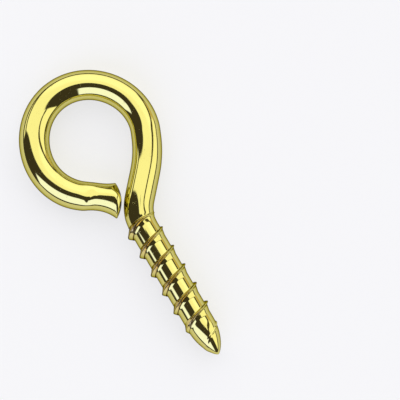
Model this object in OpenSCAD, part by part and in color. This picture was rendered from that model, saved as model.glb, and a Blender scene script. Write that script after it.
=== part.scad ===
// Screw eye bent from one length of 3 mm brass wire: a round eye with a cut end that all but
// touches the neck, a leaning leg, and a straight shank with a rolled right-hand thread and point.
// The eye's centre is the origin. The eye lies level in the XY plane and the shank points along -Y.

/* [Wire and eye] */
// Diameter of the wire
wire_d = 3; // [2.7:0.1:3.3]
// Clear diameter inside the eye
eye_d = 8.1; // [7.5:0.1:9.5]
// Length over all, from the far side of the eye to the tip
overall_length = 31.75; // [30:0.25:35]

/* [Leg and neck] */
// Angle past the widest place where the eye starts to open out into the leg
ease_angle = 20; // [16:1:24]
// Centre-line radius where the eye opens out into the leg
ease_r = 11; // [10:0.5:12]
// Lean of the straight leg from the shank's line, in degrees
leg_lean = 42; // [40:0.5:44]
// Centre-line radius of the bend at the neck
neck_r = 4.1; // [3.8:0.1:4.6]
// Distance of the shank's line from the eye's centre
shank_offset = 0.22; // [0.1:0.02:0.4]

/* [Cut end] */
// Angle past the widest place where the wire runs straight to its cut end
end_angle = 54; // [52:0.5:55]
// Diameter of the narrow waist behind the cut end
waist_d = 2.78; // [2.6:0.02:2.9]
// Diameter of the spread rim at the cut end
rim_d = 3.44; // [3.32:0.02:3.6]
// Radius of the domed end face
dome_r = 3; // [2.9:0.05:3.2]
// How far the domed face is tipped to the outside of the eye, measured at its centre
dome_offset = 0.4; // [0.3:0.02:0.5]
// Air gap between the cut end and the neck
end_gap = 0.12; // [0.06:0.02:0.3]

/* [Thread and point] */
// How much smaller the shank's core radius is than the wire's radius
core_drop = 0.06; // [0.04:0.01:0.12]
// Pitch of the right-hand thread
pitch = 2.14; // [2:0.02:2.3]
// Height of the thread ridge above the core
ridge_height = 0.37; // [0.25:0.01:0.45]
// Width of the ridge where it leaves the core
ridge_base = 0.8; // [0.7:0.02:0.95]
// Width of the ridge at its crest
ridge_top = 0.24; // [0.16:0.02:0.3]
// How far the ridge stands off centre at its start
ridge_runout = 0.14; // [0:0.01:0.16]
// How far the turns lean along the shank, to each side of a true helix
ridge_lean = 0.2; // [0:0.02:0.22]
// Length of the tapered point
point_length = 3.5; // [3.2:0.1:4]
// Radius of the blunt nose
nose_r = 0.5; // [0.4:0.02:0.6]

/* [Hidden] */
$fn = 72;
wire_r = wire_d / 2;
eye_r = (eye_d + wire_d) / 2;
core_r = wire_r - core_drop;
tip_y = eye_r + wire_r - overall_length;

// Each run of wire stops joint_short before its neighbour, and a ball a hair wider than the wire,
// centred where they meet, makes them one.
joint_short = 0.04;
joint_hair = 0.01;

// The eye opens out about a centre on its far side, along the line at ease_angle.
ease_start = eye_r * [cos(ease_angle), -sin(ease_angle)];
ease_c = (eye_r - ease_r) * [cos(ease_angle), -sin(ease_angle)];
leg_start = ease_c + ease_r * [cos(leg_lean), -sin(leg_lean)];
leg_length = (leg_start[0] - shank_offset - neck_r * (1 - cos(leg_lean))) / sin(leg_lean);
leg_end = leg_start - leg_length * [sin(leg_lean), cos(leg_lean)];
neck_c = leg_end + neck_r * [cos(leg_lean), -sin(leg_lean)];
shank_length = neck_c[1] - tip_y;

// The straight end starts at end_p and runs along end_h, with end_n pointing out of the eye.
end_p = -eye_r * [cos(end_angle), sin(end_angle)];
end_h = [sin(end_angle), -cos(end_angle)];
end_n = -[cos(end_angle), sin(end_angle)];
// The dome's centre lies where the dome just clears the bend of the neck by end_gap.
to_neck = neck_c - end_p - dome_offset * end_n;
reach = dome_r + neck_r + wire_r + end_gap;
dome_s = to_neck * end_h - sqrt(reach * reach - pow(to_neck * end_n, 2));
dome_c = end_p + dome_s * end_h + dome_offset * end_n;
end_length = dome_s + dome_r;

// The point is an arc of a circle, tangent to the core, closed by a nose tangent to the arc.
point_arc = (pow(point_length - nose_r, 2) + pow(core_r, 2) - pow(nose_r, 2)) / (2 * (core_r - nose_r));
nose_c = [0, -(point_length - nose_r)];
arc_c = [core_r - point_arc, 0];
nose_join = arc_c + point_arc * (nose_c - arc_c) / norm(nose_c - arc_c);

// The ridge rises out of the neck's bend and dies out part way down the point.
thread_top = neck_c[1] + 1.2;
thread_run = thread_top - tip_y - 0.53 * point_length;
turn_steps = 30;
steps = round(turn_steps * thread_run / pitch);

// Which sub-part to draw

// Radius of the core at a distance below the neck's bend, point and all.
function core_at(s) =
    let (q = s - (shank_length - point_length))
    q <= 0 ? core_r : sqrt(point_arc * point_arc - q * q) - (point_arc - core_r);

// 0 to 1 between a and b, level at both ends.
function ease(v, a, b) = let (t = min(1, max(0, (v - a) / (b - a)))) t * t * (3 - 2 * t);

// One section of the ridge: a trapezium whose foot is sunk in the core.
function ridge_section(i) =
    let (
        turn = i / turn_steps, az = 360 * turn, along = i / steps,
        y = thread_top - pitch * turn + ridge_lean * cos(az),
        r = core_at(neck_c[1] - y),
        grow = ease(turn, -0.12, 0.4) * (1 - ease(along, 0.74, 1.02)),
        h = max(0.03, grow * (ridge_height - ridge_runout * (1 - 1.4 * along) * cos(az))),
        slope = (ridge_base - ridge_top) / (2 * ridge_height),
        foot_w = ridge_top / 2 + slope * (h + 0.3)
    )
    [for (p = [[r - 0.3, foot_w], [r + h, ridge_top / 2], [r + h, -ridge_top / 2], [r - 0.3, -foot_w]])
        [shank_offset + p[0] * cos(az), y - p[1], p[0] * sin(az)]];

module ridge() {
    sections = [for (i = [0:steps]) ridge_section(i)];
    points = [for (s = sections) each s];
    sides = [for (i = [0:steps - 1]) for (k = [0:3]) let (a = 4 * i + k, b = 4 * i + (k + 1) % 4)
        each [[b, a, b + 4], [b + 4, a, a + 4]]];
    first = [0, 1, 2, 3];
    last = [for (k = [3:-1:0]) 4 * steps + k];
    polyhedron(points, concat(sides, [first, last]), convexity = 10);
}

// A bend of the wire about centre c, from angle a through angle sweep, stopping short at both ends.
module bend(c, r, a, sweep) {
    trim = joint_short / r * 180 / PI;
    translate([c[0], c[1], 0]) rotate([0, 0, a + trim])
        rotate_extrude(angle = sweep - 2 * trim, $fn = 144) translate([r, 0]) circle(r = wire_r);
}

module joint(p, turn) {
    translate([p[0], p[1], 0]) rotate([0, 0, turn]) rotate([90, 0, 0])
        sphere(r = wire_r + joint_hair, $fn = 96);
}

module leg() {
    translate([leg_start[0], leg_start[1], 0]) rotate([0, 0, -leg_lean]) rotate([90, 0, 0])
        translate([0, 0, joint_short]) cylinder(r = wire_r, h = leg_length - 2 * joint_short);
}

// The shank's core and point, with its top sunk in the neck.
module core() {
    translate([shank_offset, neck_c[1], 0]) rotate([-90, 0, 0]) rotate_extrude() {
        translate([0, point_length - shank_length])
            square([core_r, shank_length - point_length + 0.3]);
        translate([0, point_length - shank_length]) {
            intersection() {
                translate(arc_c) circle(r = point_arc, $fn = 240);
                translate([0, nose_join[1]]) square([core_r + 1, -nose_join[1]]);
            }
            intersection() {
                translate(nose_c) circle(r = nose_r, $fn = 48);
                translate([0, -point_length - 1]) square([nose_r + 1, point_length + 1 + nose_join[1]]);
            }
        }
    }
}

// The straight end of the wire: it narrows to a waist, spreads to a rim and stops at a domed face.
module cut_end() {
    intersection() {
        translate([end_p[0], end_p[1], 0]) rotate([0, 0, end_angle]) rotate([90, 0, 0])
            rotate_extrude() polygon([[0, joint_short], [wire_r, joint_short],
                [waist_d / 2, 0.45 * end_length], [waist_d / 2 + 0.06, 0.64 * end_length],
                [rim_d / 2, 0.86 * end_length], [rim_d / 2, end_length + 1], [0, end_length + 1]]);
        translate([dome_c[0], dome_c[1], 0]) rotate([0, 0, 180]) sphere(r = dome_r, $fn = 96);
    }
}

module screw_eye() {
    color([0.86, 0.74, 0.28]) union() {
        bend([0, 0], eye_r, -ease_angle, 180 + end_angle + ease_angle);
        joint(ease_start, -ease_angle);
        bend(ease_c, ease_r, -leg_lean, leg_lean - ease_angle);
        joint(leg_start, -leg_lean);
        leg();
        joint(leg_end, -leg_lean);
        bend(neck_c, neck_r, 180 - leg_lean, leg_lean);
        core();
        ridge();
        joint(end_p, end_angle);
        cut_end();
    }
}

screw_eye();
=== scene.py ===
"""Screw eye: one length of polished brass wire, bent to an eye and rolled to a wood-screw thread.

The part's solid in model.glb is stood for by one finer skin, swept along the wire's middle line. It
lies on a plain pale floor in a soft studio. Sizes are written in millimetres and are turned to metres
where a mesh is made. Angles are in degrees, save azimuths round the wire, which are in radians. The
eye's centre is the origin, the eye lies in the XY plane and the shank points along -Y.
"""
import logging
import math
from dataclasses import dataclass
from enum import Enum

import bpy
import numpy as np
from mathutils import Matrix


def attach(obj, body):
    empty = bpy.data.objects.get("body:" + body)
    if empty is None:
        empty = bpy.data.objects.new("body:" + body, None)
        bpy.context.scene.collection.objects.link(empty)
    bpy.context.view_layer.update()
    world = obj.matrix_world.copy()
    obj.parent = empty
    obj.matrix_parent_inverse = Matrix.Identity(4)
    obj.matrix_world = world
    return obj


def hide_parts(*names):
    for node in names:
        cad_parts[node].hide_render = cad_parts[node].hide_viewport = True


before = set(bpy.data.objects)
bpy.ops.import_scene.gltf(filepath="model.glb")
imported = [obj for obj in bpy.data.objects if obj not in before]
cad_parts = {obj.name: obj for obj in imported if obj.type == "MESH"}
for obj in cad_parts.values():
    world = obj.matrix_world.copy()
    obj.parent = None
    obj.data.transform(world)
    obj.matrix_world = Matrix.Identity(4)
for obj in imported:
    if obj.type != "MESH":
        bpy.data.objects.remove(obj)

LOG = logging.getLogger("screw_eye")
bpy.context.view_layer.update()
METRES = 0.001


def ease(value: np.ndarray, start: float, stop: float) -> np.ndarray:
    """Rises from 0 at start to 1 at stop and is level at both: t squared times (3 - 2t).

    Args:
        value: Where the ease is wanted.
        start: Value at which it leaves 0.
        stop: Value at which it reaches 1.

    Returns:
        The eased step, of the value's shape.
    """
    t = np.clip((value - start) / (stop - start), 0.0, 1.0)
    return t * t * (3.0 - 2.0 * t)


def bell(value: np.ndarray, centre: float, width: float) -> np.ndarray:
    """A bell curve 1 high at its centre: e to the minus (distance over width) squared."""
    return np.exp(-(((value - centre) / width) ** 2))


def heading(degrees: float | np.ndarray) -> np.ndarray:
    """Unit vector in the eye's plane at an angle from +X: (cosine, sine)."""
    angle = np.radians(degrees)
    return np.stack([np.cos(angle), np.sin(angle)], axis=-1)


@dataclass
class MiddleLine:
    """The wire's middle line, from the cut end round the eye and down the shank to the tip.

    A lobe of the eye is (count of highs round it, height, angle of one high).
    """

    eye_radius: float = 5.568
    lobes: tuple[tuple[int, float, float], ...] = ((1, 0.051, 60.0), (2, 0.031, 39.0), (3, 0.057, -21.0))
    end_angle: float = 234.5
    end_heading: float = -36.0
    end_length: float = 4.0
    ease_angle: float = 20.0
    ease_start_radius: float = 5.59
    ease_radius: float = 11.0
    leg_lean: float = 42.0
    neck_radius: float = 4.1
    shank_x: float = 0.235
    tip_y: float = -24.60
    step: float = 0.02
    softening: float = 0.3
    eye_places: int = 800
    bend_places: int = 200
    run_places: int = 60
    shank_places: int = 400

    def ring(self, degrees: np.ndarray) -> np.ndarray:
        """The eye, a circle with a few soft lobes.

        Radius is the mean radius plus each lobe's height times the cosine of its count times the angle
        from its high place.

        Args:
            degrees: Angles from +X.

        Returns:
            Points in the plane, one for each angle.
        """
        radius = np.full_like(degrees, self.eye_radius)
        for count, height, high in self.lobes:
            radius = radius + height * np.cos(np.radians(count * (degrees - high)))
        return radius[:, None] * heading(degrees)

    def runs(self) -> list[np.ndarray]:
        """The runs of the line in order: straight end, eye, easing bend, leg, neck bend and shank.

        A bend is its centre plus its radius times the heading of a steadily turning angle, and a
        straight run is its start plus its length along its heading.

        Returns:
            One array of points for each run.
        """
        eye = self.ring(np.linspace(self.end_angle, -self.ease_angle, self.eye_places))
        reach = np.linspace(self.end_length, 0.0, self.run_places)[:, None]
        end = eye[0] + reach * heading(self.end_heading)
        ease_centre = (self.ease_start_radius - self.ease_radius) * heading(-self.ease_angle)
        turning = np.linspace(-self.ease_angle, -self.leg_lean, self.bend_places)
        easing = ease_centre + self.ease_radius * heading(turning)
        leg_start = easing[-1]
        lean = math.radians(self.leg_lean)
        leg_drop = leg_start[0] - self.shank_x - self.neck_radius * (1.0 - math.cos(lean))
        leg_length = leg_drop / math.sin(lean)
        down_leg = -np.array([math.sin(lean), math.cos(lean)])
        leg = leg_start + np.linspace(0.0, leg_length, self.run_places)[:, None] * down_leg
        neck_centre = leg[-1] + self.neck_radius * heading(-self.leg_lean)
        neck = neck_centre - self.neck_radius * heading(np.linspace(-self.leg_lean, 0.0, self.bend_places))
        shank_y = np.linspace(neck[-1][1], self.tip_y - 1.0, self.shank_places)
        shank = np.stack([np.full_like(shank_y, self.shank_x), shank_y], axis=-1)
        return [end, eye, easing, leg, neck, shank]

    def trace(self) -> tuple[np.ndarray, np.ndarray, np.ndarray, float]:
        """Evens out the runs' points and softens the places where they meet.

        The points are spread evenly along the line, then each is the bell-weighted mean of its
        neighbours, which rounds off the jumps in bend where the runs meet.

        Returns:
            Distance along the line, points, outward (left-hand) unit vectors, and the distance at which
            the straight end meets the eye.
        """
        runs = self.runs()
        rough = np.concatenate([run if i == 0 else run[1:] for i, run in enumerate(runs)])
        gone = np.concatenate([[0.0], np.cumsum(np.hypot(*np.diff(rough, axis=0).T))])
        along = np.arange(0.0, gone[-1], self.step)
        even = np.stack([np.interp(along, gone, rough[:, axis]) for axis in (0, 1)], axis=-1)
        count = round(3.0 * self.softening / self.step)
        weight = bell(np.arange(-count, count + 1) * self.step, 0.0, self.softening * math.sqrt(2.0))
        before = even[0] - (even[1] - even[0]) * np.arange(count, 0, -1)[:, None]
        after = even[-1] + (even[-1] - even[-2]) * np.arange(1, count + 1)[:, None]
        padded = np.concatenate([before, even, after])
        soft = np.stack(
            [np.convolve(padded[:, axis], weight / weight.sum(), mode="valid") for axis in (0, 1)], axis=-1
        )
        travel = np.gradient(soft, along, axis=0)
        travel /= np.linalg.norm(travel, axis=1)[:, None]
        outward = np.stack([-travel[:, 1], travel[:, 0]], axis=-1)
        return along, soft, outward, self.end_length


@dataclass
class CutEnd:
    """The cropped end of the wire: a narrow waist, a lip spread to the outside and a domed face.

    Reach is the distance from the eye towards the face, and a pair of values is a span of reach. Inner is
    the side towards the middle of the eye.
    """

    joined: tuple[float, float] = (-0.5, 0.6)
    face_reach: float = 3.203
    face_slant: float = 0.1437
    slanted: tuple[float, float] = (0.4, 2.9)
    half_width: float = 1.46
    tall: float = 1.5
    waist_outer: float = 0.15
    waisted_outer: tuple[float, float] = (-0.4, 1.2)
    waist_inner: float = 0.015
    waist_inner_at: float = 1.5
    waist_inner_run: float = 0.5
    waist_tall: float = 0.028
    waisted_tall: tuple[float, float] = (0.0, 1.4)
    lip_outer: float = 0.74
    lip_start: float = 1.25
    lip_run: float = 2.05
    lip_power: float = 2.1
    lip_inner: float = 0.13
    lip_inner_start: float = 1.9
    lip_inner_run: float = 1.1
    lip_tall: float = 0.026
    lipped_tall: tuple[float, float] = (1.6, 3.3)
    rim_round: float = 0.15
    rim_soft: float = 0.45
    rim_turn: float = 66.0
    rim_width: float = 1.6
    rim_rows: int = 18
    face_rows: int = 15
    face_rise: float = 0.613
    pole_rise: float = 0.615
    rim_drop: float = 0.14
    pull: float = 0.42
    pull_from: float = 1.2
    pull_angle: float = 128.0
    pull_spread: float = 26.0
    pull_rounding: float = 0.3

    def inner(self, reach: np.ndarray) -> np.ndarray:
        """Half width towards the eye's middle: the wire, less a shallow waist, plus a slight lip."""
        lip = self.lip_inner * (np.clip((reach - self.lip_inner_start) / self.lip_inner_run, 0.0, None) ** 2)
        waist = self.waist_inner * bell(reach, self.waist_inner_at, self.waist_inner_run)
        return self.half_width - waist + lip

    def outer(self, reach: np.ndarray) -> np.ndarray:
        """Half width to the outside: the wire, less the waist, plus a lip that grows by a power."""
        waist = self.waist_outer * ease(reach, *self.waisted_outer)
        lip = self.lip_outer * np.clip((reach - self.lip_start) / self.lip_run, 0.0, None) ** self.lip_power
        return self.half_width - waist + lip

    def half_height(self, reach: np.ndarray) -> np.ndarray:
        """Half height above and below the eye's plane: a shallow waist and a slight lip."""
        waist = self.waist_tall * ease(reach, *self.waisted_tall)
        return self.tall - waist + self.lip_tall * ease(reach, *self.lipped_tall)

    def chords(self, reach: np.ndarray, eye: np.ndarray, ahead: np.ndarray) -> tuple[np.ndarray, np.ndarray]:
        """Middles and half chords of the slanting sections.

        A section's inner and outer ends are its half widths to either side, each moved along the wire
        by its own width times the slant, which grows from nothing to the face's slant.

        Args:
            reach: Distance of each section from the eye.
            eye: Point where the straight end meets the eye.
            ahead: Heading of the straight end, towards the face.

        Returns:
            The middles, and the vectors from each middle to the section's outer edge.
        """
        inward = np.array([-ahead[1], ahead[0]])
        slant = self.face_slant * ease(reach, *self.slanted)
        ends = []
        for width in (self.inner(reach), -self.outer(reach)):
            along = reach - slant * width
            ends.append(eye + along[..., None] * ahead + width[..., None] * inward)
        return (ends[0] + ends[1]) / 2.0, (ends[1] - ends[0]) / 2.0

    def drawn_back(self, azimuth: np.ndarray) -> np.ndarray:
        """How far the rim lies back from its section: a bell on the upper and lower inner corners."""
        off = np.abs(np.angle(np.exp(1j * azimuth)))
        return self.pull * bell(off, math.radians(self.pull_angle), math.radians(self.pull_spread))

    def profile(self, azimuth: np.ndarray) -> tuple[np.ndarray, np.ndarray]:
        """The face from its middle to its rim, as fractions of the rim's width and rises above its edge.

        The rim is part of a circle, sharp at the sides and softer above and below: its radius is the
        sharp one, plus the softness times the azimuth's sine squared, plus a share of how far the rim is
        drawn back. The face within it is a parabola: rise is what is left of the face's rise times
        (1 - fraction squared).

        Args:
            azimuth: Angles round the wire.

        Returns:
            Fractions of the half chord and rises in millimetres, one row for each from the middle
            outwards and one column for each angle.
        """
        rounding = self.rim_round + self.rim_soft * np.sin(azimuth) ** 2
        rounding = rounding + self.pull_rounding * self.drawn_back(azimuth)
        turn = np.radians(np.linspace(self.rim_turn, 0.0, self.rim_rows + 1)[:-1])[:, None]
        rim_rise = rounding * np.sin(turn)
        rim_fraction = 1.0 - rounding * (1.0 - np.cos(turn)) / self.rim_width
        fraction = np.linspace(0.0, 1.0, self.face_rows + 2)[1:-1, None]
        dome_rise = rim_rise[0] + (self.face_rise - rim_rise[0]) * (1.0 - fraction ** 2)
        fractions = np.concatenate([fraction * rim_fraction[0], rim_fraction])
        return fractions, np.concatenate([dome_rise, rim_rise])


def bend_in(value: np.ndarray, radius: float) -> np.ndarray:
    """A ramp with a rounded foot: 0 below -radius, (value + radius) squared over 4 radii, then the value."""
    rounded = (np.clip(value + radius, 0.0, 2.0 * radius) ** 2) / (4.0 * radius)
    return rounded + np.maximum(value - radius, 0.0)


@dataclass
class Thread:
    """The rolled ridge that winds down the shank as a right-hand thread, and the valley under it.

    The ridge's eye-side foot is a plain helix. The crest stands close to that foot on the side towards
    +X and leans over to the tip's side on the side away from it, where the ridge is also higher. Grown,
    tail_end and drifting are spans of turns and dying is one of shares of the run. Two spans of azimuth
    set where the ridge carries its painted tan reflection and where its three painted shade lines come to
    full strength. The foot's notch and the widening of the crest's painted shade line are (size, place
    round the shank, width), the first of them in degrees.
    """

    pitch: float = 2.14
    top: float = -8.76
    run: float = 13.83
    early: float = 0.15
    grown: tuple[float, float] = (-0.12, 0.4)
    dying: tuple[float, float] = (0.74, 1.02)
    height: float = 0.37
    runout: float = 0.14
    runout_turn: float = 1.4
    lean_low: float = 0.07
    lean_high: float = 0.48
    lean_power: float = 2.7
    crest: float = 0.08
    crest_fall: float = 0.15
    steep: float = 0.13
    foot: float = 0.15
    foot_loss: float = 0.08
    foot_power: float = 1.5
    foot_end: float = 0.92
    foot_notch: tuple[float, float, float] = (0.20, 105.0, 40.0)
    rounding: float = 0.035
    tail: float = 0.14
    tail_end: tuple[float, float] = (6.50, 6.66)
    drift: float = 0.5
    drifting: tuple[float, float] = (5.9, 6.35)
    edge: float = 0.03
    # Span of azimuth over which the ridge takes its painted tan reflection.
    reflection_span: tuple[float, float, float, float] = (1.0, 1.6, 2.2, 2.9)
    # Painted shade lines along the ridge: their width, the crest line's widening, the foot line's strength,
    # the steep edge line's extra width and the span where they reach full strength.
    painted_shade_line: float = 0.04
    crest_shade_widening: tuple[float, float, float] = (0.025, 1.5, 0.3)
    foot_shade_line: float = 0.8
    steep_shade_line_wider: float = 0.01
    shade_lines_full: tuple[float, float] = (0.9, 1.6)
    ridge_lines: int = 38
    valley_lines: int = 12

    def relief(self, azimuth: np.ndarray, y: np.ndarray) -> tuple[np.ndarray, np.ndarray, np.ndarray]:
        """Height of the ridge over the core.

        Across the ridge the section is five straight lengths with rounded corners: up the eye-side
        flank, along the crest, down the steep flank, down the low foot, and the valley. It is summed
        from one rounded ramp for each corner, times the change of slope there. Turns are counted from
        the thread's top, and the last one drifts towards the tip as it dies out to a low tail.

        Args:
            azimuth: Angle round the shank from +X towards +Z, in radians, from 0 to 2 pi.
            y: Place along the shank.

        Returns:
            Height over the core, how far each place is on the ridge proper, where a tan reflection is
            painted, and how far it is on one of the three painted shade lines along the ridge, both from 0
            to 1.
        """
        share = azimuth / (2.0 * math.pi)
        turns = (self.top - y) / self.pitch - share
        whole = np.floor(turns + self.early)
        turn = whole + share
        off = (turns - whole) * self.pitch - self.drift * ease(turn, *self.drifting)
        along = turn * self.pitch / self.run
        tail = self.tail * (1.0 - ease(turn, *self.tail_end))
        grow = ease(turn, *self.grown) * np.maximum(1.0 - ease(along, *self.dying), tail)
        rise = grow * (self.height - self.runout * (1.0 - self.runout_turn * along) * np.cos(azimuth))
        side = (1.0 - np.cos(azimuth)) / 2.0
        lean = side ** self.lean_power
        up = self.lean_low + self.lean_high * lean
        over = up + self.crest
        down = over + self.steep * (1.0 + lean)
        notch, notch_at, notch_width = self.foot_notch
        out = self.foot_end - notch * bell(azimuth, math.radians(notch_at), math.radians(notch_width))
        low = (self.foot - self.foot_loss * side ** self.foot_power) * grow ** 2 * rise / self.height
        slopes = (
            rise / up,
            -self.crest_fall * rise / self.crest,
            (low - (1.0 - self.crest_fall) * rise) / (down - over),
            -low / (out - down),
        )
        corners = (0.0 * up, up, over, down, out)
        height = np.zeros_like(off)
        before = np.zeros_like(off)
        for corner, slope in zip(corners, slopes + (0.0 * up,)):
            height = height + (slope - before) * bend_in(off - corner, self.rounding)
            before = slope
        edge = self.edge
        # Painted tan reflection: the ridge mask, on the upper span of azimuth only.
        ridge = grow * ease(off, -edge, edge) * (1.0 - ease(off, down - edge, down + edge))
        ridge = ridge * ease(azimuth, *self.reflection_span[:2]) * (1.0 - ease(azimuth, *self.reflection_span[2:]))
        # Painted shade: three dark lines along the ridge's foot, crest and steep edge, fuller on the upper
        # side.
        wider, wider_at, wider_width = self.crest_shade_widening
        crest = bell(off, (up + over) / 2.0, self.painted_shade_line + wider * bell(azimuth, wider_at, wider_width))
        shade_lines = self.foot_shade_line * bell(off, 0.0, self.painted_shade_line) + crest
        shade_lines = shade_lines + bell(off, down, self.painted_shade_line + self.steep_shade_line_wider)
        shade_lines = shade_lines * (0.5 + 0.5 * ease(azimuth, *self.shade_lines_full))
        return np.maximum(height, 0.0), ridge, grow * shade_lines

    def lines(self) -> np.ndarray:
        """Where the mesh's lines lie across one pitch: close over the ridge and wide in the valley."""
        before, after = 0.10, 1.04
        ridge = np.linspace(-before, after, self.ridge_lines, endpoint=False)
        valley = np.linspace(after, self.pitch - before, self.valley_lines, endpoint=False)
        return np.concatenate([ridge, valley])


@dataclass
class Point:
    """The shank's tapered point."""

    start: float = -21.17
    tip: float = -24.60
    power: float = 0.72

    def radius(self, y: np.ndarray, core: float) -> np.ndarray:
        """Core radius along the point: core x (1 - u squared) to a power, u from 0 to 1 down the point."""
        u = np.clip((self.start - y) / (self.start - self.tip), 0.0, 1.0)
        return core * (1.0 - u * u) ** self.power


@dataclass
class Dent:
    """A shallow hollow in the wire's skin, or a swelling where its depth is less than nothing.

    It lies at a reach from the eye's end towards the face, less than nothing towards the shank, and at
    an angle round the wire in degrees. Its length, and its width in radians, are those of a bell.
    """

    along: float
    around: float
    depth: float
    length: float
    width: float

    def relief(self, along: np.ndarray, azimuth: np.ndarray) -> np.ndarray:
        """Minus the depth times a bell along the wire times a bell round it."""
        turn = np.angle(np.exp(1j * (azimuth - math.radians(self.around))))
        return -self.depth * bell(along, self.along, self.length) * bell(turn, 0.0, self.width)


@dataclass
class ScrewEye:
    """The whole screw eye as one skin: sections of the wire set out along its middle line.

    From the cut end to the neck the sections are square to the line. Down the thread the mesh's lines
    wind with the ridge, so that it stays crisp, and they are square again at the very point. Waisted and
    rolled are spans of distance down the shank from the eye's centre.
    """

    line: MiddleLine
    end: CutEnd
    thread: Thread
    point: Point
    dents: tuple[Dent, ...] = ()
    wire_radius: float = 1.50
    core_radius: float = 1.42
    swell: float = 0.012
    swell_at: float = 150.0
    thinning: float = 0.04
    thinned: float = 2.0
    waist: float = 0.022
    waisted: tuple[float, float] = (7.0, 9.2)
    rolled: tuple[float, float] = (8.9, 9.6)
    shank_after: float = 30.0
    off_thread: float = 10.0
    columns: int = 128
    thread_from: float = -8.30
    thread_to: float = -23.30
    fine_until: float = 0.5
    fine_step: float = 0.05
    eye_rows: int = 230
    tip_rows: int = 36
    tip_power: float = 1.6
    weld: float = 0.012

    def __post_init__(self) -> None:
        """Traces the middle line once and finds where the cut end's rim section lies on it."""
        self.along, self.points, self.outward, self.eye_at = self.line.trace()
        self.rim_at = self.eye_at - self.end.face_reach + self.end.rim_drop

    def at_y(self, level: float) -> float:
        """Distance along the line at which the shank passes a level of Y."""
        shank = np.flatnonzero((self.points[:, 1] < level) & (self.along > self.shank_after))
        return float(self.along[shank[0]])

    def radius(self, along: np.ndarray, place: np.ndarray) -> np.ndarray:
        """The wire's radius: a little thicker on the eye's far side, waisted at the neck, rolled below.

        Args:
            along: Distance of each section along the line.
            place: Point of each section.

        Returns:
            Radius of each section, point and all.
        """
        bend = np.degrees(np.arctan2(place[..., 1], place[..., 0]))
        wire = self.wire_radius + self.swell * np.cos(np.radians(bend - self.swell_at))
        wire = wire - self.thinning * (1.0 - ease(along, self.eye_at, self.eye_at + self.thinned))
        below = np.where(along > self.shank_after, place[..., 1], 0.0)
        wire = wire - self.waist * ease(-below, *self.waisted)
        rolled = ease(-below, *self.rolled)
        core = self.point.radius(below, self.core_radius)
        return wire * (1.0 - rolled) + core * rolled

    def surface(self, stand: np.ndarray, azimuth: np.ndarray) -> tuple[np.ndarray, np.ndarray]:
        """Points of the skin.

        A point is its section's middle, plus the half chord times the cosine of the azimuth, plus the
        half height times its sine, plus the relief along the same direction.

        Args:
            stand: Distance of each point along the line.
            azimuth: Its angle round the wire, from the outside of the eye towards +Z, in radians.

        Returns:
            The points, and for each (how far it is on the thread's ridge, where a tan reflection is painted,
            how far on a painted shade line, 0).
        """
        stand, azimuth = np.broadcast_arrays(stand, azimuth)
        middle, across = (
            np.stack([np.interp(stand, self.along, traced[:, axis]) for axis in (0, 1)], axis=-1)
            for traced in (self.points, self.outward)
        )
        across /= np.linalg.norm(across, axis=-1)[..., None]
        tall = self.radius(stand, middle)
        chord = across * tall[..., None]

        reach = self.eye_at - stand
        pulled = ease(reach, self.end.pull_from, self.end.face_reach - self.end.rim_drop)
        reach = reach - self.end.drawn_back(azimuth) * pulled
        in_end = ease(reach, *self.end.joined)
        end_middle, end_chord = self.end.chords(reach, self.line.ring(np.array([self.line.end_angle]))[0],
                                                heading(self.line.end_heading))
        middle = middle + (end_middle - middle) * in_end[..., None]
        chord = chord + (end_chord - chord) * in_end[..., None]
        tall = tall + (self.end.half_height(reach) - tall) * in_end

        shank = stand > self.shank_after
        on_thread = self.thread.relief(azimuth, np.where(shank, middle[..., 1], self.off_thread))
        relief, ridge, shade_lines = (np.where(shank, part, 0.0) for part in on_thread)
        for dent in self.dents:
            relief = relief + dent.relief(reach, azimuth)
        unit = chord / np.maximum(np.linalg.norm(chord, axis=-1), 1e-9)[..., None]
        flat = middle + (chord + relief[..., None] * unit) * np.cos(azimuth)[..., None]
        points = np.concatenate([flat, ((tall + relief) * np.sin(azimuth))[..., None]], axis=-1)
        return points, np.stack([ridge, shade_lines, 0.0 * ridge], axis=-1)

    def cut_face(self, azimuth: np.ndarray) -> tuple[np.ndarray, np.ndarray, np.ndarray]:
        """The domed face of the cut end, from its middle outwards, and the pole in its middle.

        A point is the rim section's middle, plus the face's normal times the rise, plus the fraction
        times the way from that middle to the rim.

        Args:
            azimuth: Angles round the wire.

        Returns:
            The points, one row for each fraction, their rises and the pole.
        """
        rim, _ = self.surface(np.full_like(azimuth, self.rim_at), azimuth)
        middle = (rim[0] + rim[len(azimuth) // 2]) / 2.0
        chord = rim[0] - middle
        normal = np.array([-chord[1], chord[0], 0.0]) / np.linalg.norm(chord)
        normal *= np.sign(normal[:2] @ heading(self.line.end_heading))
        fraction, rise = self.end.profile(azimuth)
        fraction = fraction[..., None]
        back = ((rim - middle) @ normal)[:, None]
        spread = (rim - middle) - back * normal
        face = middle + fraction * spread + (fraction ** 2 * back + rise[..., None]) * normal
        return face, rise.mean(axis=1), middle + self.end.pole_rise * normal

    def build(self) -> bpy.types.Object:
        """Sets out the sections, winds the thread's mesh between two of them and makes the skin.

        On the wound part a point's distance along the wire is its mesh line's distance plus the pitch
        times its share of a turn, and each line runs on into the one a pitch further down. Where that
        lies beyond the first or last square section, the section's own point is used instead.

        Returns:
            The finished piece.
        """
        columns = self.columns
        azimuth = np.linspace(0.0, 2.0 * math.pi, columns, endpoint=False)
        start, stop, tip_at = (
            self.at_y(level) for level in (self.thread_from, self.thread_to, self.point.tip))
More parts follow.
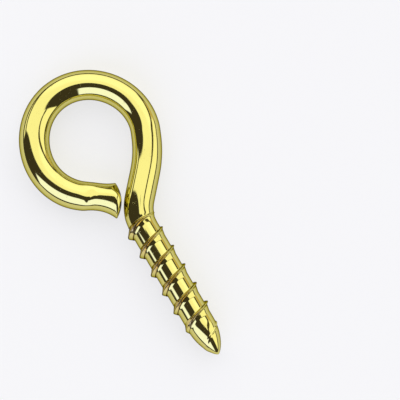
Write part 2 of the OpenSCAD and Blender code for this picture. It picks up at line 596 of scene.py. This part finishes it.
        # The tip itself is one point, and the row next to it would lie too close to it.
        down = 1.0 - (1.0 - np.linspace(0.0, 1.0, self.tip_rows)[:-2]) ** self.tip_power
        fine_end = self.eye_at + self.fine_until
        upper = np.concatenate([
            np.arange(self.rim_at, fine_end, self.fine_step),
            np.linspace(fine_end, start, self.eye_rows),
        ])
        lower = stop + (tip_at - stop) * down
        face, rise, pole = self.cut_face(azimuth)

        lines = self.thread.lines()
        spare = 2
        turns = math.ceil((self.thread_from - self.thread_to) / self.thread.pitch) + spare
        level = (np.arange(-spare, turns)[:, None] * self.thread.pitch + lines).ravel()
        first = self.at_y(self.thread.top)
        wound = first + level[:, None] + self.thread.pitch * np.arange(columns) / columns
        upper_rows, lower_rows = len(face) + len(upper), len(lower)
        base = upper_rows * columns
        index = base + np.arange(wound.size).reshape(wound.shape)
        index = np.where(wound < start + self.weld, base - columns + np.arange(columns), index)
        index = np.where(wound > stop - self.weld, base + wound.size + np.arange(columns), index)

        body = [self.surface(part, turn) for part, turn in (
            (upper[:, None], azimuth), (wound, azimuth), (lower[:, None], azimuth))]
        tip = np.array([self.line.shank_x, self.point.tip, 0.0])
        points, on_ridge = (
            np.concatenate([first_rows.reshape(-1, 3), *(part.reshape(-1, 3) for part in rows), poles])
            for first_rows, rows, poles in (
                (face, [place for place, _ in body], np.array([pole, tip])),
                (np.zeros_like(face), [mask for _, mask in body], np.zeros((2, 3))),
            )
        )
        stand = np.concatenate([
            np.repeat(upper[0] - rise, columns), np.repeat(upper, columns), wound.ravel(),
            np.repeat(lower, columns), [upper[0] - rise[0], tip_at]])
        angle = np.concatenate([np.tile(azimuth, upper_rows + len(wound) + lower_rows), [0.0, 0.0]])

        top = np.arange(base).reshape(upper_rows, columns)
        bottom = base + wound.size + np.arange(lower_rows * columns).reshape(lower_rows, columns)
        run_on = np.concatenate([index[len(lines):, 0], np.full(len(lines), bottom[0, 0])])
        after = np.concatenate([index[:, 1:], run_on[:, None]], axis=1)
        quads = np.concatenate([self.ribs(top, np.roll(top, -1, axis=1)), self.ribs(index, after),
                                self.ribs(bottom, np.roll(bottom, -1, axis=1))])
        ring, nose = np.arange(columns), bottom[-1]
        cap = np.stack([np.full(columns, len(points) - 2), np.roll(ring, -1), ring], axis=-1)
        end = np.stack([np.full(columns, len(points) - 1), nose, np.roll(nose, -1)], axis=-1)
        LOG.info("wound part: %d lines", len(wound))
        return self.sew(points, quads, np.concatenate([cap, end]), stand, angle, on_ridge)

    @staticmethod
    def ribs(grid: np.ndarray, after: np.ndarray) -> np.ndarray:
        """Four-cornered faces between neighbouring rows of a grid and the columns after it."""
        return np.stack([grid[:-1], after[:-1], after[1:], grid[1:]], axis=-1).reshape(-1, 4)

    def sew(self, points: np.ndarray, quads: np.ndarray, triangles: np.ndarray, stand: np.ndarray,
            angle: np.ndarray, on_ridge: np.ndarray) -> bpy.types.Object:
        """Makes the closed mesh, dropping faces that have shrunk to nothing and unused points.

        Args:
            points: All points, in millimetres.
            quads: Faces of four corners, of which some may fall on the same point.
            triangles: Faces of three corners.
            stand: Distance of each point along the wire.
            angle: Angle of each point round the wire.
            on_ridge: For each point, (how far it is on the ridge, how far on a painted shade line, 0).

        Returns:
            The mesh object, with the wire's own coordinates and the masks of the ridge's painted
            reflection and painted shade lines as point attributes.
        """
        same = quads == np.roll(quads, -1, axis=1)
        whole = quads[~same.any(axis=1)]
        half = quads[same.sum(axis=1) == 1]
        keep = ~same[same.sum(axis=1) == 1]
        triangles = np.concatenate([triangles, half[keep].reshape(-1, 3)])
        used, corners = np.unique(np.concatenate([whole.ravel(), triangles.ravel()]), return_inverse=True)
        sizes = np.concatenate([np.full(len(whole), 4), np.full(len(triangles), 3)])
        starts = np.concatenate([[0], np.cumsum(sizes)[:-1]]).astype(np.int32)

        mesh = bpy.data.meshes.new("screw_eye_wire")
        mesh.vertices.add(len(used))
        mesh.vertices.foreach_set("co", (points[used] * METRES).astype(np.float32).ravel())
        mesh.loops.add(len(corners))
        mesh.loops.foreach_set("vertex_index", corners.astype(np.int32))
        mesh.polygons.add(len(sizes))
        mesh.polygons.foreach_set("loop_start", starts)
        mesh.polygons.foreach_set("use_smooth", np.ones(len(sizes), dtype=bool))
        mesh.update(calc_edges=True)
        mesh.validate()

        wire = np.stack([self.wire_radius * np.cos(angle), self.wire_radius * np.sin(angle), stand], axis=-1)
        wire[-2:, :2] = 0.0  # the face's pole and the tip, on the middle line
        place = mesh.attributes.new("wire_place", "FLOAT_VECTOR", "POINT")
        place.data.foreach_set("vector", wire[used].astype(np.float32).ravel())
        # Masks of the ridge's painted tan reflection and painted shade lines.
        ridge = mesh.attributes.new("ridge_place", "FLOAT_VECTOR", "POINT")
        ridge.data.foreach_set("vector", on_ridge[used].astype(np.float32).ravel())
        piece = bpy.data.objects.new("wire_skin", mesh)
        bpy.context.scene.collection.objects.link(piece)
        return piece


class Shade:
    """A node's output that takes part in plain sums and products: each adds its Math node."""

    def __init__(self, bench: "Bench", socket: bpy.types.NodeSocket) -> None:
        """Wraps one output socket of the bench's tree."""
        self.bench = bench
        self.socket = socket

    def __add__(self, other: "Shade | float") -> "Shade":
        """Self + other."""
        return self.bench.combined("ADD", self, other)

    __radd__ = __add__

    def __mul__(self, other: "Shade | float") -> "Shade":
        """Self x other."""
        return self.bench.combined("MULTIPLY", self, other)


class Bench:
    """Makes and links the nodes of one tree."""

    def __init__(self, tree: bpy.types.NodeTree) -> None:
        """Clears the tree and keeps it."""
        tree.nodes.clear()
        self.tree = tree

    def node(self, kind: str, settings: dict | None = None, sockets: dict | None = None,
             out: int | str = 0) -> Shade:
        """Adds one node.

        Args:
            kind: The node's type.
            settings: Its properties, set before its sockets.
            sockets: Values or links of its inputs, by name or place.
            out: The output wanted, by name or place.

        Returns:
            The output as a Shade, or a Shade with no socket for an output node.
        """
        made = self.tree.nodes.new(kind)
        for name, value in (settings or {}).items():
            setattr(made, name, value)
        for name, value in (sockets or {}).items():
            if isinstance(value, Shade):
                self.tree.links.new(value.socket, made.inputs[name])
            else:
                made.inputs[name].default_value = value
        return Shade(self, made.outputs[out] if len(made.outputs) else None)

    def combined(self, operation: str, first: "Shade | float", second: "Shade | float") -> Shade:
        """A Math node on two terms."""
        return self.node("ShaderNodeMath", {"operation": operation}, {0: first, 1: second})

    def clear_step(self, value: Shade, start: float, stop: float) -> Shade:
        """Eases from 0 to 1 as the value goes from start to stop."""
        return self.node("ShaderNodeMapRange", {"interpolation_type": "SMOOTHSTEP"}, {
            "Value": value, "From Min": start, "From Max": stop})

    def mixed(self, factor: "Shade | float", first: "Shade | tuple", second: "Shade | tuple") -> Shade:
        """A colour between two, by a factor from 0 to 1."""
        return self.node("ShaderNodeMix", {"data_type": "RGBA", "clamp_factor": True},
                         {0: factor, 6: first, 7: second}, out=2)

    def noise(self, place: Shade, grain: tuple[float, float, float], detail: float,
              rough: float = 0.5) -> Shade:
        """Soft noise from 0 to 1 at a place, with so many grains to the millimetre along each axis."""
        spread = self.node("ShaderNodeVectorMath", {"operation": "MULTIPLY"}, {0: place, 1: grain})
        return self.node("ShaderNodeTexNoise", {"noise_dimensions": "3D"}, {
            "Vector": spread, "Scale": 1.0, "Detail": detail, "Roughness": rough})


def rgba(red: float, green: float, blue: float) -> tuple[float, float, float, float]:
    """A plain colour, in linear light, with no see-through."""
    return (red, green, blue, 1.0)


@dataclass(frozen=True)
class PolishedBrass:
    """Bright rolled brass: mirror-like, with drawing lines along the wire and smudges; a painted tan
    reflection and painted shade lines on the thread's ridge, and painted shade on grazing reflections.
    """

    bright: tuple[float, float, float] = (0.662, 0.604, 0.19)
    deep: tuple[float, float, float] = (0.638, 0.562, 0.162)
    # Painted tan reflection laid over the thread's ridge; only its rougher finish is real.
    rolled: tuple[float, float, float] = (0.80, 0.61, 0.27)
    # Painted shade: the near-black colour of the lines along the ridge.
    painted_shade_line: tuple[float, float, float] = (0.10, 0.055, 0.015)
    roughness: float = 0.045
    rolled_roughness: float = 0.12
    smudge: float = 0.05
    scratch: float = 0.30
    # Painted shade on grazing reflections: a dark edge tint standing in for the darker floor the wire's
    # edges reflect.
    edge_tint: tuple[float, float, float] = (0.16, 0.13, 0.07)
    line_grain: tuple[float, float, float] = (9.0, 9.0, 0.35)
    line_depth: float = 0.02
    wave_grain: tuple[float, float, float] = (0.5, 0.5, 0.28)
    wave_depth: float = 0.02
    smudge_grain: tuple[float, float, float] = (0.8, 0.8, 0.5)
    grit_grain: tuple[float, float, float] = (1.1, 1.1, 7.0)
    streak_grain: tuple[float, float, float] = (16.0, 16.0, 1.4)
    patches: tuple[float, float] = (0.45, 0.75)
    grits: tuple[float, float] = (0.60, 0.66)
    streaks: tuple[float, float] = (0.60, 0.68)
    # Soft edge of the painted shade lines, then the shares of the patches, the ridge's painted tan
    # reflection and the painted shade lines.
    shade_line_edge: tuple[float, float] = (0.2, 0.8)
    deep_share: float = 0.5
    ridge_reflection_share: float = 0.85
    shade_line_share: float = 0.92
    bump_strength: float = 0.25
    bump_distance: float = 0.0001

    def make(self, name: str) -> bpy.types.Material:
        """Builds the finish.

        Args:
            name: The material's name.

        Returns:
            A node material on the wire's own coordinates.
        """
        material = bpy.data.materials.new(name)
        material.use_nodes = True
        bench = Bench(material.node_tree)
        place = bench.node("ShaderNodeAttribute", {"attribute_name": "wire_place"}, out="Vector")
        lines = bench.noise(place, self.line_grain, detail=3.0)
        waves = bench.noise(place, self.wave_grain, detail=1.0)
        smudges = bench.noise(place, self.smudge_grain, detail=4.0, rough=0.6)
        masks = bench.node("ShaderNodeAttribute", {"attribute_name": "ridge_place"}, out="Vector")
        ridge = bench.node("ShaderNodeSeparateXYZ", None, {0: masks}, out="X")
        shade_lines = bench.node("ShaderNodeSeparateXYZ", None, {0: masks}, out="Y")
        patch = bench.clear_step(smudges, *self.patches)
        grit = bench.noise(place, self.grit_grain, detail=2.0)
        streaks = bench.noise(place, self.streak_grain, detail=1.0)
        nicks = bench.clear_step(grit, *self.grits) * bench.clear_step(streaks, *self.streaks)
        in_shade_line = bench.clear_step(shade_lines, *self.shade_line_edge)
        colour = bench.mixed(patch * self.deep_share, rgba(*self.bright), rgba(*self.deep))
        # Painted tan reflection over the thread's ridge.
        colour = bench.mixed(ridge * self.ridge_reflection_share, colour, rgba(*self.rolled))
        # Painted shade: near-black lines along the ridge's edges and crest.
        colour = bench.mixed(in_shade_line * self.shade_line_share, colour, rgba(*self.painted_shade_line))
        rough = self.roughness + patch * self.smudge + ridge * self.rolled_roughness + nicks * self.scratch
        height = lines * self.line_depth + waves * self.wave_depth
        bump = bench.node("ShaderNodeBump", None, {
            "Strength": self.bump_strength, "Distance": self.bump_distance, "Height": height})
        metal = bench.node("ShaderNodeBsdfPrincipled", None, {
            "Base Color": colour, "Metallic": 1.0, "Roughness": rough,
            "Specular Tint": rgba(*self.edge_tint), "Normal": bump})
        bench.node("ShaderNodeOutputMaterial", None, {"Surface": metal})
        return material


class Tone(Enum):
    """Levels of the studio's surfaces, where 1 is a white card in plain light."""

    CEILING = (1.48, 1.47, 1.36)
    WALL = (1.64, 1.66, 1.68)
    SOFT_BOX = (1.46, 1.60, 2.75)
    GOLD = (1.50, 1.49, 1.34)
    AMBER = (0.80, 0.65, 0.34)
    OLIVE = (0.10, 0.085, 0.05)
    DUSK = (0.05, 0.042, 0.03)
    DARK = (0.060, 0.051, 0.045)


def towards(places: tuple[tuple[float, float], ...]) -> np.ndarray:
    """Unit vectors towards places of the studio: (sine of fall x heading, cosine of fall).

    Args:
        places: Each as (azimuth from +X, fall from straight up), in degrees.

    Returns:
        One row for each place.
    """
    azimuth, fall = np.radians(np.array(places)).T
    return np.stack(
        [np.sin(fall) * np.cos(azimuth), np.sin(fall) * np.sin(azimuth), np.cos(fall)], axis=-1)


@dataclass(frozen=True)
class Panel:
    """A straight-edged sheet of the studio, given by the directions of its corners.

    Each corner is (azimuth from +X, fall from straight up), in degrees.
    """

    name: str
    corners: tuple[tuple[float, float], ...]
    tone: Tone
    softness: float = 0.03

    def mask(self, bench: Bench, ray: Shade) -> Shade:
        """Where the sheet is seen: the product, over its edges, of a soft step across the edge's plane.

        An edge's plane holds both its corners and the object, so it is square to their cross product.

        Args:
            bench: The tree's bench.
            ray: Direction looked in.

        Returns:
            1 within the sheet and 0 outside it.
        """
        corners = towards(self.corners)
        planes = np.cross(corners, np.roll(corners, -1, axis=0))
        planes /= np.linalg.norm(planes, axis=1)[:, None]
        planes *= np.sign(planes @ corners.mean(axis=0))[:, None]
        inside: Shade | None = None
        for plane in planes:
            side = bench.node("ShaderNodeVectorMath", {"operation": "DOT_PRODUCT"},
                              {0: ray, 1: tuple(plane.tolist())}, out="Value")
            step = bench.clear_step(side, -self.softness, self.softness)
            inside = step if inside is None else inside * step
        return inside


def rail(name: str, path: tuple[tuple[float, float], ...], width: float, tone: Tone) -> tuple[Panel, ...]:
    """A thin bent bar of the studio: one narrow panel for each of its straight lengths.

    Each length's corners are its two ends, moved to either side by half the width along the direction
    square to the plane that holds both ends and the object.

    Args:
        name: What the bar is.
        path: The bends as (azimuth, fall), in degrees.
        width: The bar's width, in degrees.
        tone: Its level.

    Returns:
        The panels, in order.
    """
    overlap, softness = 0.04, 0.012
    bends = towards(path)
    parts = []
    for start, stop in zip(bends[:-1], bends[1:]):
        square = np.cross(start, stop)
        square *= math.radians(width) / 2.0 / np.linalg.norm(square)
        over = (stop - start) * overlap
        corners = np.stack([start - over - square, stop + over - square, stop + over + square,
                            start - over + square])
        corners /= np.linalg.norm(corners, axis=1)[:, None]
        azimuth = np.degrees(np.arctan2(corners[:, 1], corners[:, 0]))
        fall = np.degrees(np.arccos(corners[:, 2]))
        parts.append(Panel(name, tuple(zip(azimuth.tolist(), fall.tolist())), tone, softness))
    return tuple(parts)


@dataclass
class Studio:
    """The soft studio round the object: bright walls and ceiling, panels of light and dark flags."""

    panels: tuple[Panel, ...] = (
        Panel("far_wall", ((345.0, 80.0), (350.0, 35.0), (40.0, 22.0), (90.0, 40.0), (100.0, 80.0)),
              Tone.WALL, 0.15),
        Panel("gold_card", ((296.0, 82.0), (310.0, 30.0), (335.0, 34.0), (354.0, 57.0), (6.0, 76.0),
                            (6.0, 82.0)), Tone.GOLD, 0.02),
        Panel("amber_card", ((354.0, 91.0), (359.0, 66.0), (14.0, 78.0), (12.0, 91.0)), Tone.AMBER, 0.06),
        *rail("thin_rail", ((312.0, 33.0), (324.0, 31.0), (340.0, 36.0), (355.0, 57.0), (9.0, 71.0),
                            (20.0, 79.0)), 8.0, Tone.OLIVE),
        *rail("far_rail", ((136.0, 68.0), (117.0, 71.0), (100.0, 80.0), (75.0, 86.0)), 8.0, Tone.OLIVE),
        Panel("near_flag", ((160.0, 17.0), (100.0, 6.0), (55.0, 4.0), (323.0, 21.0), (312.0, 38.0),
                            (301.0, 58.0), (293.0, 91.0), (180.0, 91.0)), Tone.DARK, 0.02),
        Panel("left_flag", ((146.0, 91.0), (133.5, 66.0), (134.0, 34.0), (170.0, 6.0), (230.0, 20.0),
                            (195.0, 91.0)), Tone.DARK, 0.02),
        Panel("soft_box", ((188.0, 91.0), (172.0, 60.0), (180.0, 44.0), (200.0, 32.0), (220.0, 29.0),
                           (255.0, 32.0), (254.0, 84.0), (232.0, 86.0), (210.0, 91.0)),
              Tone.SOFT_BOX, 0.025),
        Panel("low_flag", ((172.0, 91.0), (174.0, 82.5), (216.0, 78.0), (258.0, 82.5), (260.0, 91.0)),
              Tone.DARK, 0.02),
    )
    dusk: tuple[float, float] = (0.12, 0.21)

    def light(self) -> None:
        """Builds the world: a bright room with dusk at its horizon, and the panels laid over it in order."""
        world = bpy.data.worlds.new("studio")
        world.use_nodes = True
        bpy.context.scene.world = world
        bench = Bench(world.node_tree)
        ray = bench.node("ShaderNodeTexCoord", out="Generated")
        height = bench.node("ShaderNodeSeparateXYZ", None, {0: ray}, out="Z")
        day = bench.clear_step(height, *self.dusk)
        glow = bench.mixed(day, rgba(*Tone.DUSK.value), rgba(*Tone.CEILING.value))
        for panel in self.panels:
            glow = bench.mixed(panel.mask(bench, ray), glow, rgba(*panel.tone.value))
        lit = bench.node("ShaderNodeBackground", None, {"Color": glow, "Strength": 1.0})
        bench.node("ShaderNodeOutputWorld", None, {"Surface": lit})
        LOG.info("studio: %s", ", ".join(panel.name for panel in self.panels))


@dataclass
class Floor:
    """The plain pale floor that the screw eye lies on: matt white, lifted part of the way to white.

    The lift is seen by the camera and in the metal alike, and leaves the soft shadow in place.
    """

    half_side: float = 1500.0
    paint: tuple[float, float, float] = (0.825, 0.805, 0.775)
    paper_glow: float = 0.67

    def build(self, level: float) -> None:
        """Lays the floor.

        Args:
            level: Height of the object's lowest point, in metres.
        """
        reach = self.half_side * METRES
        corners = np.array([[-reach, -reach, level], [reach, -reach, level],
                            [reach, reach, level], [-reach, reach, level]])
        mesh = bpy.data.meshes.new("floor")
        mesh.from_pydata(corners.tolist(), [], [(0, 1, 2, 3)])
        floor = bpy.data.objects.new("floor", mesh)
        bpy.context.scene.collection.objects.link(floor)
        paint = bpy.data.materials.new("pale_floor")
        paint.use_nodes = True
        bench = Bench(paint.node_tree)
        matt = bench.node("ShaderNodeBsdfDiffuse", None, {"Color": rgba(*self.paint)})
        white = bench.node("ShaderNodeEmission", None, {"Color": rgba(1.0, 1.0, 1.0), "Strength": 1.0})
        first, *others = (bench.node("ShaderNodeLightPath", out=f"Is {kind} Ray")
                          for kind in ("Camera", "Glossy", "Transmission"))
        seen = bench.combined("MINIMUM", sum(others, first), 1.0)
        paper = bench.node("ShaderNodeMixShader", None, {0: seen * self.paper_glow, 1: matt, 2: white})
        bench.node("ShaderNodeOutputMaterial", None, {"Surface": paper})
        mesh.materials.append(paint)


@dataclass
class Camera:
    """The camera, above the object and a little to the left and the near side of straight above."""

    aim: tuple[float, float] = (6.42, -10.60)
    lean: tuple[float, float] = (-0.12, -0.08)
    turn: float = 59.35
    distance: float = 149.6
    lens: float = 136.0
    clip: tuple[float, float] = (0.01, 10.0)

    def set_up(self) -> None:
        """Places the scene's camera.

        It stands back from the aim along (lean, 1) and is turned so that its upright lies over the
        heading given by turn.
        """
        back = np.array([self.lean[0], self.lean[1], 1.0])
        back /= np.linalg.norm(back)
        up = np.append(heading(self.turn), 0.0)
        up -= (up @ back) * back
        up /= np.linalg.norm(up)
        right = np.cross(up, back)
        place = np.array([self.aim[0], self.aim[1], 0.0]) + back * self.distance
        data = bpy.data.cameras.new("camera")
        data.lens = self.lens
        data.clip_start, data.clip_end = self.clip
        camera = bpy.data.objects.new("camera", data)
        bpy.context.scene.collection.objects.link(camera)
        pose = np.eye(4)
        pose[:3, 0], pose[:3, 1], pose[:3, 2], pose[:3, 3] = right, up, back, place * METRES
        camera.matrix_world = Matrix(pose.tolist())
        bpy.context.scene.camera = camera


def main() -> None:
    """Builds the screw eye, its finish and its studio, and reports each piece."""
    logging.basicConfig(level=logging.INFO, format="%(name)s: %(message)s")
    bpy.context.scene.view_settings.view_transform = "Standard"
    Camera().set_up()

    by_cut_end = (
        Dent(0.55, 74.7, 0.091, 0.38, 0.534), Dent(0.18, 95.9, 0.099, 0.50, 0.558),
        Dent(2.83, 105.5, -0.080, 1.10, 0.31), Dent(0.70, 97.8, 0.083, 0.35, 0.33),
    )
    at_neck = (Dent(-33.20, 107.0, 0.073, 1.03, 0.285), Dent(-32.57, 118.0, 0.066, 1.31, 0.55))
    wire = ScrewEye(MiddleLine(), CutEnd(), Thread(), Point(), by_cut_end + at_neck).build()
    wire.data.materials.append(PolishedBrass().make("polished_brass"))
    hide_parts("screw_eye")
    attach(wire, "root")
    LOG.info("%s: %d faces", wire.name, len(wire.data.polygons))

    places = np.empty((len(wire.data.vertices), 3), dtype=np.float32)
    wire.data.vertices.foreach_get("co", places.ravel())
    Floor().build(float(places[:, 2].min()))
    Studio().light()


if __name__ == "__main__":
    main()
